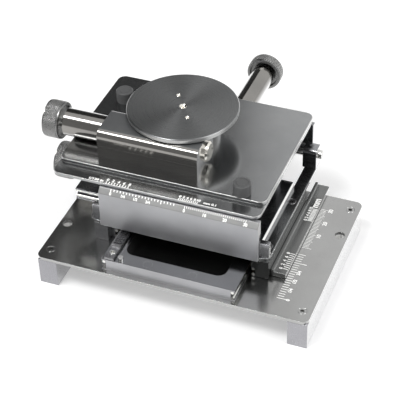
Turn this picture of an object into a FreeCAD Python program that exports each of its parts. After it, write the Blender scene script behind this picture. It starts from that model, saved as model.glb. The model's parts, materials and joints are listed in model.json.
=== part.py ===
import FreeCAD, Part
import math
import os

# Microscope xy stage with a worm-driven turntable.
# Frame: +X to the right, +Y to the rear, +Z up.
# Origin: centre of the base plate's outline, on the surface that the legs stand on.
# Rest: Y vernier reads 16.5 mm, X vernier reads 3.7 mm below zero.
# All lengths in millimetres, angles in degrees.

# Base plate and legs
base_width = 136.0
base_depth = 90.0
base_height = 16.0
base_thickness = 1.6
base_corner_radius = 3.4
leg_width = 9.6
leg_left_inset = 1.0
plate_screw_side_inset = 4.7
plate_screw_end_inset = 7.0
foot_bolt_inset = 4.0
foot_bolt_y = 18.0
foot_bolt_radius = 2.4

# Screws with a countersunk head, drawn with flat sides
screw_sides = 10
screw_head_radius = 2.2
screw_shank_radius = 1.25
screw_length = 7.0
screw_gap = 0.05
rack_screw_head_radius = 1.6
rack_screw_shank_radius = 0.9

# Ball slides, the same section on both axes
rod_radius = 0.8
ball_radius = 1.6
ball_sides = 10
ball_rings = 6
slide_gap = 1.0
ball_gap = 0.05
rod_seat_gap = 0.02
cage_thickness = 0.5
cage_height = 4.4
cage_pocket_gap = 0.1
cage_balls = 4
y_cage_length = 40.0
y_cage_middle = 4.0
x_front_cage_length = 48.0
x_front_cage_middle = -9.0
x_rear_cage_length = 40.0
x_rear_cage_middle = -13.0

# Guide block of the Y slide
block_left = -34.3
block_right = 32.3
block_half_depth = 42.3
block_height = 6.0
window_left_margin = 8.3
window_right_margin = 7.9
window_end_margin = 7.3
window_corner_radius = 4.5
block_screw_spacing = 22.4
stop_pin_side_inset = 8.7
stop_pin_end_inset = 2.7
stop_pin_radius = 1.3
stop_pin_rise = 1.5

# Gear teeth of both rack drives
tooth_module = 0.5
pinion_teeth = 20
pressure_angle = 20.0
tooth_thinning = 0.06
rack_backing = 1.4
rack_width = 4.8
pinion_width = 5.2
drive_shaft_radius = 2.0
running_gap = 0.05

# Y rack and the drive over it
y_rack_side_inset = 1.3
y_rack_end_gap = 0.3
y_rack_plain_end = 8.0
y_rack_screw_inset = 4.5
y_drive_y = 13.4
y_sleeve_radius = 5.2
y_sleeve_length = 23.7
y_housing_depth = 12.0
y_housing_reach = 2.0
y_knob_left = -81.4
y_knob_length = 8.3
knob_radius = 9.3
knob_chamfer = 0.7
knob_dish_radius = 6.6
knob_dish_depth = 0.5
knob_face_thickness = 2.0

# Y carriage
bed_left = -49.0
bed_right = 42.0
bed_front = -23.7
bed_back = 59.5
bed_lift = 10.6
bed_thickness = 1.7
bed_corner_radius = 4.5
bed_opening_half_width = 36.0
bed_opening_front = 31.0
rail_front = -23.5
rail_back = 33.0
rail_lift = 0.3
left_rail_left = -46.3
gib_thickness = 4.0
gib_front = -20.0
gib_screw_radius = 1.5
gib_screw_places = (-12.0, 6.5, 25.0)
left_bed_screw_places = (-14.0, 25.5)
right_bed_screw_places = (-14.0, 20.5)
bed_screw_inset = 3.3

# X rails, front rail with the bevelled scale
front_rail_left = -42.3
front_rail_right = 37.2
front_rail_face = -24.7
front_rail_thickness = 4.2
bevel_foot_lift = 17.7
bevel_top_lift = 20.1
bevel_depth = 2.2
rear_rail_right = 29.0
rear_rail_thickness = 4.5
rear_rail_height = 15.5
end_block_width = 4.7
end_block_thickness = 2.9
end_block_height = 8.2
end_block_gap = 0.3

# Saddle under the X slide
saddle_left = -26.0
saddle_right = 36.5
saddle_front = -20.0
saddle_height = 2.9
saddle_back_margin = 0.5
saddle_chamfer = 0.8

# Y vernier bar
vernier_bar_width = 7.3
vernier_bar_front = -20.5
vernier_bar_back = 48.5
vernier_bar_height = 2.7
vernier_lip_width = 1.5
vernier_lip_rise = 1.2

# Rear plate and cross rod
rear_plate_left = -45.0
rear_plate_right = 37.5
rear_plate_thickness = 3.0
rear_plate_height = 20.0
cross_rod_y = 52.0
cross_rod_lift = 6.7
cross_rod_radius = 2.25
cross_rod_left = -48.0
cross_rod_right = 44.0
rod_overhang = 2.0
bracket_width = 7.0
bracket_depth = 8.0
bracket_height = 11.0
bracket_corner_radius = 2.2
rod_screw_radius = 0.9

# X slide
x_core_left = -57.0
x_core_right = 25.0
x_core_lift = 6.7
x_core_height = 6.0
x_core_front = -19.5
x_core_back = 25.5
spacer_left = -40.0
spacer_right = 8.0
spacer_front = -12.0
spacer_back = 18.0
stage_screw_inset = 4.0
stage_plate_left = -67.7
stage_plate_right = 36.7
vernier_plate_front = -21.5
vernier_plate_lift = 20.4
vernier_plate_thickness = 1.5
top_plate_front = -13.0
top_plate_back = 60.9
top_plate_thickness = 2.0
stage_corner_radius = 4.0

# X rack and the drive under it
x_rack_left = -45.0
x_rack_right = 2.0
x_drive_x = -3.5
x_drive_y = 45.0
x_sleeve_radius = 5.9
x_sleeve_end = 99.2
x_sleeve_flange_radius = 6.5
x_sleeve_flange_thickness = 1.5
x_knob_front = 99.5
x_knob_length = 6.0
x_knob_radius = 9.2
x_knob_face_thickness = 1.5

# Turntable head
head_axis_x = -17.9
head_axis_y = 24.0
head_block_left = -50.5
head_block_right = 0.5
head_block_front = -5.5
head_block_back = 15.5
head_height = 14.0
head_edge_radius = 4.0
drum_radius = 17.8
worm_y = 6.5
worm_height = 7.0
wheel_teeth = 36
wheel_pitch_radius = 14.0
wheel_addendum = 0.6
wheel_dedendum = 0.85
wheel_width = 6.0
wheel_tooth_thickness = 0.9
wheel_flank_taper = 0.4
worm_addendum = 0.6
worm_dedendum = 0.75
worm_tooth_thickness = 0.6
worm_flank_taper = 0.25
worm_thread_sink = 0.1
worm_turns = 3
worm_room_turns = 1.0
worm_journal_radius = 3.0
worm_end_radius = 2.0
chamber_gap = 0.6
head_sleeve_radius = 6.75
head_sleeve_left = -71.3
head_spigot_radius = 5.0
head_spigot_length = 5.0
head_knob_left = -81.3
head_knob_length = 8.3
end_nut_radius = 5.0
end_nut_height = 2.0
end_nut_chamfer = 0.9
end_nut_thread_radius = 4.5
end_nut_depth = 3.0
end_nut_hole_radius = 0.6
end_nut_hole_offset = 2.8
hub_radius = 12.5
hub_thickness = 1.8
spindle_radius = 4.0
pivot_radius = 2.5
disc_radius = 27.2
disc_thickness = 2.5
disc_gap = 0.3
disc_chamfer = 0.4
disc_screw_places = ((-5.4, 7.8), (5.4, -7.8))
disc_centre_screw_radius = 1.9
disc_centre_shank_radius = 1.0
disc_small_screw_radius = 1.1
disc_small_shank_radius = 0.7
disc_screw_length = 4.0

# Pegs on the top plate
peg_places = ((-56.6, 41.2), (23.9, -8.8))
peg_radius = 4.3
peg_height = 6.0
peg_chamfer = 0.4
peg_dish_radius = 2.9
peg_dish_depth = 0.5

# Sizes that follow from the ones above
plate_top = base_height
plate_screw_x = base_width / 2.0 - plate_screw_side_inset
plate_screw_y = base_depth / 2.0 - plate_screw_end_inset
foot_bolt_x = base_width / 2.0 - foot_bolt_inset
window_left = block_left + window_left_margin
window_right = block_right - window_right_margin
window_half_depth = block_half_depth - window_end_margin
stop_pin_x = block_left + stop_pin_side_inset
stop_pin_y = stop_pin_end_inset - block_half_depth
y_rack_half_length = block_half_depth - y_rack_end_gap
y_rack_left = block_left + y_rack_side_inset
leg_height = base_height - base_thickness
block_top = plate_top + block_height
rod_offset = (rod_radius + ball_radius) / math.sqrt(2.0)
channel_reach = rod_offset + rod_radius
pitch_radius = tooth_module * pinion_teeth / 2.0
tooth_pitch = math.pi * tooth_module
rack_addendum = tooth_module
rack_dedendum = 1.25 * tooth_module
rail_bottom = plate_top + rail_lift
bed_bottom = plate_top + bed_lift
bed_top = bed_bottom + bed_thickness
bevel_foot = bed_top + bevel_foot_lift
bevel_top = bed_top + bevel_top_lift
vernier_bar_right = bed_right + vernier_bar_width
vernier_bar_top = rail_bottom + vernier_bar_height
rear_plate_top = bed_top + rear_plate_height
cross_rod_z = bed_top + cross_rod_lift
x_core_bottom = bed_top + x_core_lift
vernier_plate_bottom = bed_top + vernier_plate_lift
y_ball_height = plate_top + block_height / 2.0
y_ball_left = block_left - slide_gap / 2.0
y_ball_right = block_right + slide_gap / 2.0
left_rail_inner = block_left - slide_gap
right_rail_inner = block_right + slide_gap
gib_left = left_rail_inner - gib_thickness
y_rack_pitch_height = block_top + rack_backing + rack_dedendum
y_drive_z = y_rack_pitch_height + pitch_radius
y_pinion_left = y_rack_left - (pinion_width - rack_width) / 2.0
front_rail_back = front_rail_face + front_rail_thickness
x_ball_front = (front_rail_back + x_core_front) / 2.0
x_ball_back = x_core_back + slide_gap / 2.0
x_ball_height = x_core_bottom + x_core_height / 2.0
x_core_top = x_core_bottom + x_core_height
rear_rail_front = x_core_back + slide_gap
rear_rail_bottom = bed_top + saddle_height
saddle_back = rear_rail_front + rear_rail_thickness - saddle_back_margin
rear_plate_front = bed_back - rear_plate_thickness
vernier_plate_top = vernier_plate_bottom + vernier_plate_thickness
stage_top = vernier_plate_top + top_plate_thickness
x_rack_pitch_height = vernier_plate_bottom - rack_backing - rack_dedendum
x_drive_z = x_rack_pitch_height - pitch_radius
head_top = stage_top + head_height
worm_z = stage_top + worm_height
worm_pitch_radius = (head_axis_y - worm_y) - wheel_pitch_radius
worm_root_radius = worm_pitch_radius - worm_dedendum
worm_crest_radius = worm_pitch_radius + worm_addendum
worm_pitch = 2.0 * math.pi * wheel_pitch_radius / wheel_teeth
worm_room_left = head_axis_x - worm_pitch * (worm_turns / 2.0 + worm_room_turns)
wheel_radius = wheel_pitch_radius + wheel_addendum
wheel_bottom = worm_z - wheel_width / 2.0
wheel_top = worm_z + wheel_width / 2.0
chamber_top = wheel_top + chamber_gap
disc_bottom = head_top + disc_gap
hub_bottom = disc_bottom - hub_thickness

x_axis = FreeCAD.Vector(1, 0, 0)
y_axis = FreeCAD.Vector(0, 1, 0)
z_axis = FreeCAD.Vector(0, 0, 1)


def point(x, y, z):
    return FreeCAD.Vector(x, y, z)


def box(x0, x1, y0, y1, z0, z1):
    return Part.makeBox(x1 - x0, y1 - y0, z1 - z0, point(x0, y0, z0))


def cylinder(start, axis, radius, length):
    return Part.makeCylinder(radius, length, start, axis)


def extrude(points, direction):
    outline = Part.makePolygon(points + [points[0]])
    return Part.Face(outline).extrude(direction)


def rounded_plate(x0, x1, y0, y1, z0, z1, radius):
    plate = box(x0, x1, y0, y1, z0, z1)
    upright = [edge for edge in plate.Edges if abs(edge.tangentAt(edge.FirstParameter).z) > 0.5]
    return plate.makeFillet(radius, upright)


def flat_sided(profile, start, axis, sides):
    """A round form drawn with flat sides, from pairs of radius and distance along the axis."""
    turn = FreeCAD.Rotation(z_axis, axis)
    rings = []
    for radius, distance in profile:
        ring = []
        for side in range(sides):
            angle = 2 * math.pi * side / sides
            corner = point(radius * math.cos(angle), radius * math.sin(angle), distance)
            ring.append(start + turn.multVec(corner))
        rings.append(ring)
    faces = [Part.Face(Part.makePolygon(ring + [ring[0]])) for ring in (rings[0], rings[-1])]
    for near, far in zip(rings, rings[1:]):
        for side in range(sides):
            after = (side + 1) % sides
            corners = [near[side], near[after], far[after], far[side], near[side]]
            faces.append(Part.Face(Part.makePolygon(corners)))
    return Part.makeSolid(Part.makeShell(faces))


def flat_ball(centre, radius):
    """A bearing ball drawn with flat sides, with a small flat at each pole."""
    profile = []
    for ring in range(ball_rings):
        angle = math.pi * (ring + 0.5) / ball_rings
        profile.append((radius * math.sin(angle), -radius * math.cos(angle)))
    return flat_sided(profile, centre, z_axis, ball_sides)


def countersunk(centre, axis, head_radius, shank_radius, length, growth=0.0):
    """A flat countersunk screw, or its hole when growth is more than zero."""
    rise = head_radius - shank_radius
    profile = [
        (head_radius + growth, 0.0),
        (shank_radius + growth, rise),
        (shank_radius + growth, length + growth),
    ]
    return flat_sided(profile, centre, axis, screw_sides)


def screws(centres, axis, hole=False, head=screw_head_radius, shank=screw_shank_radius):
    growth = screw_gap if hole else 0.0
    made = [countersunk(place, axis, head, shank, screw_length, growth) for place in centres]
    return Part.makeCompound(made)


def rack_screws(hole=False):
    centres = rack_screw_centres()
    return screws(centres, -z_axis, hole, rack_screw_head_radius, rack_screw_shank_radius)


def channel(centre, along, length, out):
    """Material to take away for the channel that holds two rods beside a row of balls."""
    across = out * channel_reach
    half = channel_reach + rod_seat_gap
    corners = [
        centre - z_axis * half,
        centre + z_axis * half,
        centre + z_axis * half + across + out * rod_seat_gap,
        centre - z_axis * half + across + out * rod_seat_gap,
    ]
    return extrude(corners, along * length)


def rod_pair(centre, along, length, out):
    """Two hardened rods that a row of balls runs between."""
    places = [centre + out * rod_offset + z_axis * rod_offset * side for side in (-1, 1)]
    return [cylinder(place, along, rod_radius, length) for place in places]


def cage(centre, along, out, length, count):
    """A thin strip with a row of round pockets, and the balls that sit in them."""
    half = z_axis * (cage_height / 2.0)
    start = centre - along * (length / 2.0) - out * (cage_thickness / 2.0)
    strip = extrude(
        [start - half, start + half, start + half + along * length, start - half + along * length],
        out * cage_thickness,
    )
    step = length / count
    balls = []
    for index in range(count):
        middle = centre + along * (step * (index + 0.5) - length / 2.0)
        pocket_radius = ball_radius + cage_pocket_gap
        pocket_ends = [(pocket_radius, -ball_radius), (pocket_radius, ball_radius)]
        strip = strip.cut(flat_sided(pocket_ends, middle, out, ball_sides))
        balls.append(flat_ball(middle, ball_radius - ball_gap))
    return strip, Part.makeCompound(balls)


def involute(angle):
    return math.tan(angle) - angle


def pinion_outline():
    """Corner points of the pinion, with one tooth centred on the first axis."""
    pressure = math.radians(pressure_angle)
    base = pitch_radius * math.cos(pressure)
    root = pitch_radius - rack_dedendum
    tip = pitch_radius + rack_addendum

    def half_angle(radius):
        opening = involute(pressure) - involute(math.acos(base / radius))
        return math.pi / (2 * pinion_teeth) + opening - tooth_thinning / (2 * pitch_radius)

    flank = [
        (root, half_angle(base)),
        (pitch_radius, half_angle(pitch_radius)),
        (tip, half_angle(tip)),
    ]
    outline = []
    for tooth in range(pinion_teeth):
        centre = 2 * math.pi * tooth / pinion_teeth
        outline += [(radius, centre - turn) for radius, turn in flank]
        outline += [(radius, centre + turn) for radius, turn in reversed(flank)]
    return outline


def pinion(start, along, toward):
    """A pinion whose tooth at rest points toward the rack."""
    side = along.cross(toward)
    corners = [
        start + toward * (radius * math.cos(turn)) + side * (radius * math.sin(turn))
        for radius, turn in pinion_outline()
    ]
    return extrude(corners, along * pinion_width)


def rack_teeth(centre, along, toward, across, first, last):
    """Straight-sided rack teeth between two places, with a gap centred on the pinion."""
    slope = math.tan(math.radians(pressure_angle))
    half = tooth_pitch / 4.0 - tooth_thinning / 2.0
    tip_half = half - rack_addendum * slope
    root_half = half + rack_dedendum * slope
    corners = []
    count = int((last - first) / tooth_pitch) + 2
    begin = int(first / tooth_pitch) - 1
    for index in range(begin, begin + count + 1):
        middle = (index + 0.5) * tooth_pitch
        if middle - root_half < first or middle + root_half > last:
            continue
        corners += [
            (middle - root_half, -rack_dedendum),
            (middle - tip_half, rack_addendum),
            (middle + tip_half, rack_addendum),
            (middle + root_half, -rack_dedendum),
        ]
    floor = -rack_dedendum - rack_backing
    corners = [(first, floor), (first, -rack_dedendum)] + corners
    corners += [(last, -rack_dedendum), (last, floor)]
    points = [centre + along * a + toward * b for a, b in corners]
    return extrude(points, across)


def save(name, shape):
    shape.exportStep(os.path.join("parts", name + ".step"))


def plate_screw_centres():
    return [
        point(side * plate_screw_x, end * plate_screw_y, plate_top)
        for side in (-1, 1)
        for end in (-1, 1)
    ]


def foot_bolt_bores():
    bores = []
    for side in (-1, 1):
        start = point(side * foot_bolt_x, side * foot_bolt_y, 0)
        bores.append(cylinder(start, z_axis, foot_bolt_radius, base_height))
    return Part.makeCompound(bores)


def block_screw_centres():
    middle = (block_left + block_right) / 2.0
    row = (window_half_depth + block_half_depth) / 2.0
    return [
        point(middle + side * block_screw_spacing / 2.0, end * row, block_top)
        for side in (-1, 1)
        for end in (-1, 1)
    ]


def rack_screw_centres():
    x = y_rack_left + rack_width / 2.0
    top = block_top + rack_backing
    reach = y_rack_half_length - y_rack_screw_inset
    return [point(x, end * reach, top) for end in (-1, 1)]


def base_group():
    half_x = base_width / 2.0
    half_y = base_depth / 2.0
    plate = rounded_plate(-half_x, half_x, -half_y, half_y, leg_height, plate_top, base_corner_radius)
    holes = foot_bolt_bores().fuse(screws(plate_screw_centres(), -z_axis, hole=True))
    threads = screws(block_screw_centres(), -z_axis, hole=True)
    save("base_plate", plate.cut(holes).cut(threads))
    leg_starts = (("leg_left", leg_left_inset - half_x), ("leg_right", half_x - leg_width))
    for name, start in leg_starts:
        leg = box(start, start + leg_width, -half_y, half_y, 0, leg_height)
        save(name, leg.cut(holes))
    save("plate_screws", screws(plate_screw_centres(), -z_axis))


def guide_block():
    block = box(block_left, block_right, -block_half_depth, block_half_depth, plate_top, block_top)
    window = rounded_plate(
        window_left,
        window_right,
        -window_half_depth,
        window_half_depth,
        plate_top,
        block_top,
        window_corner_radius,
    )
    length = 2 * block_half_depth
    rods = []
    for x, out in ((y_ball_left, x_axis), (y_ball_right, -x_axis)):
        start = point(x, -block_half_depth, y_ball_height)
        block = block.cut(channel(start, y_axis, length, out))
        rods += rod_pair(start, y_axis, length, out)
    pin_start = point(stop_pin_x, stop_pin_y, block_top - stop_pin_rise)
    pin = cylinder(pin_start, z_axis, stop_pin_radius, 2 * stop_pin_rise)
    holes = screws(block_screw_centres(), -z_axis, hole=True)
    block = block.cut(window).cut(holes).cut(rack_screws(hole=True)).cut(pin)
    save("guide_block", block)
    save("guide_rods", Part.makeCompound(rods))
    save("block_screws", screws(block_screw_centres(), -z_axis))
    save("stop_pin", pin)


def y_rack():
    centre = point(y_rack_left, y_drive_y, y_rack_pitch_height)
    first = y_rack_plain_end - y_rack_half_length - y_drive_y
    last = y_rack_half_length - y_rack_plain_end - y_drive_y
    teeth = rack_teeth(centre, y_axis, z_axis, x_axis * rack_width, first, last)
    plain = box(
        y_rack_left,
        y_rack_left + rack_width,
        -y_rack_half_length,
        y_rack_half_length,
        block_top,
        block_top + rack_backing,
    )
    rack = plain.fuse(teeth).removeSplitter()
    save("y_rack", rack.cut(rack_screws(hole=True)))
    save("y_rack_screws", rack_screws())


def bed_screw_centres():
    left = [point(bed_left + 2 * bed_screw_inset, y, bed_top) for y in left_bed_screw_places]
    right = [point(bed_right - bed_screw_inset, y, bed_top) for y in right_bed_screw_places]
    return left + right


def carriage_bed():
    bed = rounded_plate(bed_left, bed_right, bed_front, bed_back, bed_bottom, bed_top, bed_corner_radius)
    opening = box(
        -bed_opening_half_width,
        bed_opening_half_width,
        bed_opening_front,
        bed_back,
        bed_bottom,
        bed_top,
    )
    slot_half = y_housing_depth / 2.0
    slot = box(
        bed_left,
        y_pinion_left + pinion_width + rack_addendum,
        y_drive_y - slot_half,
        y_drive_y + slot_half,
        bed_bottom,
        bed_top,
    )
    holes = screws(bed_screw_centres(), -z_axis, hole=True)
    save("carriage_bed", bed.cut(opening).cut(slot).cut(holes))
    save("bed_screws", screws(bed_screw_centres(), -z_axis))


def side_rails():
    holes = screws(bed_screw_centres(), -z_axis, hole=True)
    length = rail_back - rail_front
    start = point(y_ball_right, rail_front, y_ball_height)
    right = box(right_rail_inner, bed_right, rail_front, rail_back, rail_bottom, bed_bottom)
    save("rail_right", right.cut(channel(start, y_axis, length, x_axis)).cut(holes))
    rods = rod_pair(start, y_axis, length, x_axis)
    left = box(left_rail_left, gib_left, rail_front, rail_back, rail_bottom, bed_bottom)
    set_screws = []
    for y in gib_screw_places:
        place = point(left_rail_left, y, y_ball_height)
        ends = [(gib_screw_radius, 0.0), (gib_screw_radius, gib_left - left_rail_left)]
        set_screws.append(flat_sided(ends, place, x_axis, screw_sides))
    gib_screws = Part.makeCompound(set_screws)
    save("rail_left", left.cut(holes).cut(gib_screws))
    save("gib_screws", gib_screws)
    gib_length = rail_back - gib_front
    start = point(y_ball_left, gib_front, y_ball_height)
    gib = box(gib_left, left_rail_inner, gib_front, rail_back, rail_bottom, bed_bottom - rail_lift)
    save("gib", gib.cut(channel(start, y_axis, gib_length, -x_axis)))
    rods += rod_pair(start, y_axis, gib_length, -x_axis)
    save("rail_rods", Part.makeCompound(rods))


def x_rails():
    back = front_rail_back
    profile = [
        point(front_rail_left, bed_front, bed_top),
        point(front_rail_left, bed_front, bed_bottom),
        point(front_rail_left, front_rail_face, bed_bottom),
        point(front_rail_left, front_rail_face, bevel_foot),
        point(front_rail_left, front_rail_face + bevel_depth, bevel_top),
        point(front_rail_left, back, bevel_top),
        point(front_rail_left, back, bed_top),
    ]
    length = front_rail_right - front_rail_left
    start = point(front_rail_left, x_ball_front, x_ball_height)
    rail = extrude(profile, x_axis * length)
    save("front_rail", rail.cut(channel(start, x_axis, length, -y_axis)))
    rods = rod_pair(start, x_axis, length, -y_axis)
    rear_length = rear_rail_right - front_rail_left
    start = point(front_rail_left, x_ball_back, x_ball_height)
    rear = box(
        front_rail_left,
        rear_rail_right,
        rear_rail_front,
        rear_rail_front + rear_rail_thickness,
        rear_rail_bottom,
        rear_rail_bottom + rear_rail_height,
    )
    save("rear_rail", rear.cut(channel(start, x_axis, rear_length, y_axis)))
    rods += rod_pair(start, x_axis, rear_length, y_axis)
    save("x_rail_rods", Part.makeCompound(rods))
    block_back = x_core_front - end_block_gap
    blocks = []
    for x in (front_rail_left - end_block_width, front_rail_right):
        blocks.append(
            box(
                x,
                x + end_block_width,
                block_back - end_block_thickness,
                block_back,
                bed_top,
                bed_top + end_block_height,
            )
        )
    save("end_blocks", Part.makeCompound(blocks))


def saddle():
    plate = box(saddle_left, saddle_right, saddle_front, saddle_back, bed_top, bed_top + saddle_height)
    crest = bed_top + saddle_height - screw_gap
    right_edge = [
        edge
        for edge in plate.Edges
        if edge.CenterOfMass.x > saddle_right - screw_gap and edge.CenterOfMass.z > crest
    ]
    save("saddle", plate.makeChamfer(saddle_chamfer, right_edge))


def y_vernier_bar():
    lip_right = bed_right + vernier_lip_width
    profile = [
        point(bed_right, vernier_bar_front, rail_bottom),
        point(vernier_bar_right, vernier_bar_front, rail_bottom),
        point(vernier_bar_right, vernier_bar_front, vernier_bar_top),
        point(lip_right, vernier_bar_front, vernier_bar_top),
        point(lip_right, vernier_bar_front, vernier_bar_top + vernier_lip_rise),
        point(bed_right, vernier_bar_front, vernier_bar_top + vernier_lip_rise),
    ]
    save("y_vernier_bar", extrude(profile, y_axis * (vernier_bar_back - vernier_bar_front)))


def rear_plate_and_rod():
    plate = box(rear_plate_left, rear_plate_right, rear_plate_front, bed_back, bed_top, rear_plate_top)
    sleeve_start = point(x_drive_x, rear_plate_front, x_drive_z)
    hole = cylinder(sleeve_start, y_axis, x_sleeve_radius, rear_plate_thickness)
    save("rear_plate", plate.cut(hole))
    rod_start = point(cross_rod_left, cross_rod_y, cross_rod_z)
    rod = cylinder(rod_start, x_axis, cross_rod_radius, cross_rod_right - cross_rod_left)
    brackets = []
    grub_screws = []
    for x in (cross_rod_left + rod_overhang, bed_right - bracket_width):
        bracket = box(
            x,
            x + bracket_width,
            cross_rod_y - bracket_depth / 2.0,
            cross_rod_y + bracket_depth / 2.0,
            bed_top,
            bed_top + bracket_height,
        )
        long_edges = [
            edge
            for edge in bracket.Edges
            if abs(edge.tangentAt(edge.FirstParameter).x) > 0.5 and edge.CenterOfMass.z > cross_rod_z
        ]
        bracket = bracket.makeFillet(bracket_corner_radius, long_edges)
        bracket_top = bed_top + bracket_height
        hole_start = point(x + bracket_width / 2.0, cross_rod_y, cross_rod_z)
        hole_radius = rod_screw_radius + screw_gap
        hole = flat_sided([(hole_radius, 0.0), (hole_radius, bracket_height)], hole_start, z_axis, screw_sides)
        brackets.append(bracket.cut(rod).cut(hole))
        grub_start = hole_start + z_axis * cross_rod_radius
        grub_length = bracket_top - grub_start.z
        grub_ends = [(rod_screw_radius, 0.0), (rod_screw_radius, grub_length)]
        grub = flat_sided(grub_ends, grub_start, z_axis, screw_sides)
        grub_screws.append(grub)
    save("rod_brackets", Part.makeCompound(brackets))
    save("rod_screws", Part.makeCompound(grub_screws))
    save("cross_rod", rod)


def knob(face_start, along, radius, length, shaft_radius, shaft_depth):
    """A plain barrel: chamfered rims, a dished outer face, a blind hole for its shaft."""
    barrel = cylinder(face_start, along, radius, length)
    rims = [edge for edge in barrel.Edges if edge.Closed and edge.Curve.TypeId == "Part::GeomCircle"]
    barrel = barrel.makeChamfer(knob_chamfer, rims)
    dish = cylinder(face_start, along, knob_dish_radius, knob_dish_depth)
    hole_start = face_start + along * (length - shaft_depth)
    return barrel.cut(dish).cut(cylinder(hole_start, along, shaft_radius, shaft_depth))


def y_drive():
    half = y_housing_depth / 2.0
    housing_right = gib_left + y_housing_reach
    housing_top = y_drive_z + y_sleeve_radius
    housing = box(bed_left, housing_right, y_drive_y - half, y_drive_y + half, bed_bottom, housing_top)
    top_edges = [
        edge
        for edge in housing.Edges
        if abs(edge.tangentAt(edge.FirstParameter).x) > 0.5 and edge.CenterOfMass.z > y_drive_z
    ]
    housing = housing.makeFillet(y_sleeve_radius / 2.0, top_edges)
    bore_start = point(bed_left - y_sleeve_length, y_drive_y, y_drive_z)
    bore = cylinder(bore_start, x_axis, drive_shaft_radius + running_gap, housing_right - bore_start.x)
    sleeve = cylinder(bore_start, x_axis, y_sleeve_radius, y_sleeve_length)
    save("y_drive_housing", housing.cut(bore))
    save("y_drive_sleeve", sleeve.cut(bore))
    grip = y_knob_length - knob_face_thickness
    shaft_start = point(y_knob_left + y_knob_length - grip, y_drive_y, y_drive_z)
    shaft = cylinder(shaft_start, x_axis, drive_shaft_radius, y_pinion_left + pinion_width - shaft_start.x)
    gear = pinion(point(y_pinion_left, y_drive_y, y_drive_z), x_axis, -z_axis)
    save("y_pinion_shaft", shaft.fuse(gear).removeSplitter())
    face = point(y_knob_left, y_drive_y, y_drive_z)
    save("y_knob", knob(face, x_axis, knob_radius, y_knob_length, drive_shaft_radius, grip))


def x_drive():
    pinion_front = x_drive_y - pinion_width / 2.0
    flange_start = rear_plate_front - x_sleeve_flange_thickness
    sleeve = cylinder(
        point(x_drive_x, flange_start, x_drive_z),
        y_axis,
        x_sleeve_radius,
        x_sleeve_end - flange_start,
    )
    flange = cylinder(
        point(x_drive_x, flange_start, x_drive_z),
        y_axis,
        x_sleeve_flange_radius,
        x_sleeve_flange_thickness,
    )
    bore = cylinder(
        point(x_drive_x, flange_start, x_drive_z),
        y_axis,
        drive_shaft_radius + running_gap,
        x_sleeve_end - flange_start,
    )
    save("x_drive_sleeve", sleeve.fuse(flange).cut(bore))
    grip = x_knob_length - x_knob_face_thickness
    shaft = cylinder(
        point(x_drive_x, pinion_front, x_drive_z),
        y_axis,
        drive_shaft_radius,
        x_knob_front + grip - pinion_front,
    )
    gear = pinion(point(x_drive_x, pinion_front, x_drive_z), y_axis, z_axis)
    save("x_pinion_shaft", shaft.fuse(gear).removeSplitter())
    face = point(x_drive_x, x_knob_front + x_knob_length, x_drive_z)
    save("x_knob", knob(face, -y_axis, x_knob_radius, x_knob_length, drive_shaft_radius, grip))
    centre = point(x_drive_x, x_drive_y - rack_width / 2.0, x_rack_pitch_height)
    first = x_rack_left - x_drive_x
    last = x_rack_right - x_drive_x
    save("x_rack", rack_teeth(centre, x_axis, -z_axis, y_axis * rack_width, first, last))


def cages():
    left = point(y_ball_left, y_cage_middle, y_ball_height)
    right = point(y_ball_right, y_cage_middle, y_ball_height)
    front = point(x_front_cage_middle, x_ball_front, x_ball_height)
    rear = point(x_rear_cage_middle, x_ball_back, x_ball_height)
    for name, middle, along, out, length in (
        ("y_{}_left", left, y_axis, x_axis, y_cage_length),
        ("y_{}_right", right, y_axis, x_axis, y_cage_length),
        ("x_{}_front", front, x_axis, y_axis, x_front_cage_length),
        ("x_{}_rear", rear, x_axis, y_axis, x_rear_cage_length),
    ):
        strip, balls = cage(middle, along, out, length, cage_balls)
        save(name.format("cage"), strip)
        save(name.format("balls"), balls)


def stage_screw_centres():
    return [
        point(x, y, vernier_plate_top)
        for x in (spacer_left + stage_screw_inset, spacer_right - stage_screw_inset)
        for y in (spacer_front + stage_screw_inset, spacer_back - stage_screw_inset)
    ]


def x_stage():
    core = box(x_core_left, x_core_right, x_core_front, x_core_back, x_core_bottom, x_core_top)
    length = x_core_right - x_core_left
    rods = []
    for y, out in ((x_ball_front, y_axis), (x_ball_back, -y_axis)):
        start = point(x_core_left, y, x_ball_height)
        core = core.cut(channel(start, x_axis, length, out))
        rods += rod_pair(start, x_axis, length, out)
    save("x_core", core)
    save("x_core_rods", Part.makeCompound(rods))
    holes = screws(stage_screw_centres(), -z_axis, hole=True)
    spacer = box(spacer_left, spacer_right, spacer_front, spacer_back, x_core_top, vernier_plate_bottom)
    save("spacer", spacer.cut(holes))
    save("stage_screws", screws(stage_screw_centres(), -z_axis))
    vernier_plate = rounded_plate(
        stage_plate_left,
        stage_plate_right,
        vernier_plate_front,
        top_plate_back,
        vernier_plate_bottom,
        vernier_plate_top,
        stage_corner_radius,
    )
    save("vernier_plate", vernier_plate.cut(holes))
    top = rounded_plate(
        stage_plate_left,
        stage_plate_right,
        top_plate_front,
        top_plate_back,
        vernier_plate_top,
        stage_top,
        stage_corner_radius,
    )
    pivot_hole = cylinder(
        point(head_axis_x, head_axis_y, vernier_plate_top),
        z_axis,
        pivot_radius + running_gap,
        top_plate_thickness,
    )
    save("top_plate", top.cut(pivot_hole))


def pegs():
    made = []
    for x, y in peg_places:
        barrel = cylinder(point(x, y, stage_top), z_axis, peg_radius, peg_height)
        rim = [
            edge
            for edge in barrel.Edges
            if edge.Closed and edge.CenterOfMass.z > stage_top + peg_height / 2.0
        ]
        barrel = barrel.makeChamfer(peg_chamfer, rim)
        dish_start = point(x, y, stage_top + peg_height - peg_dish_depth)
        made.append(barrel.cut(cylinder(dish_start, z_axis, peg_dish_radius, peg_dish_depth)))
    save("pegs", Part.makeCompound(made))


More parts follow.
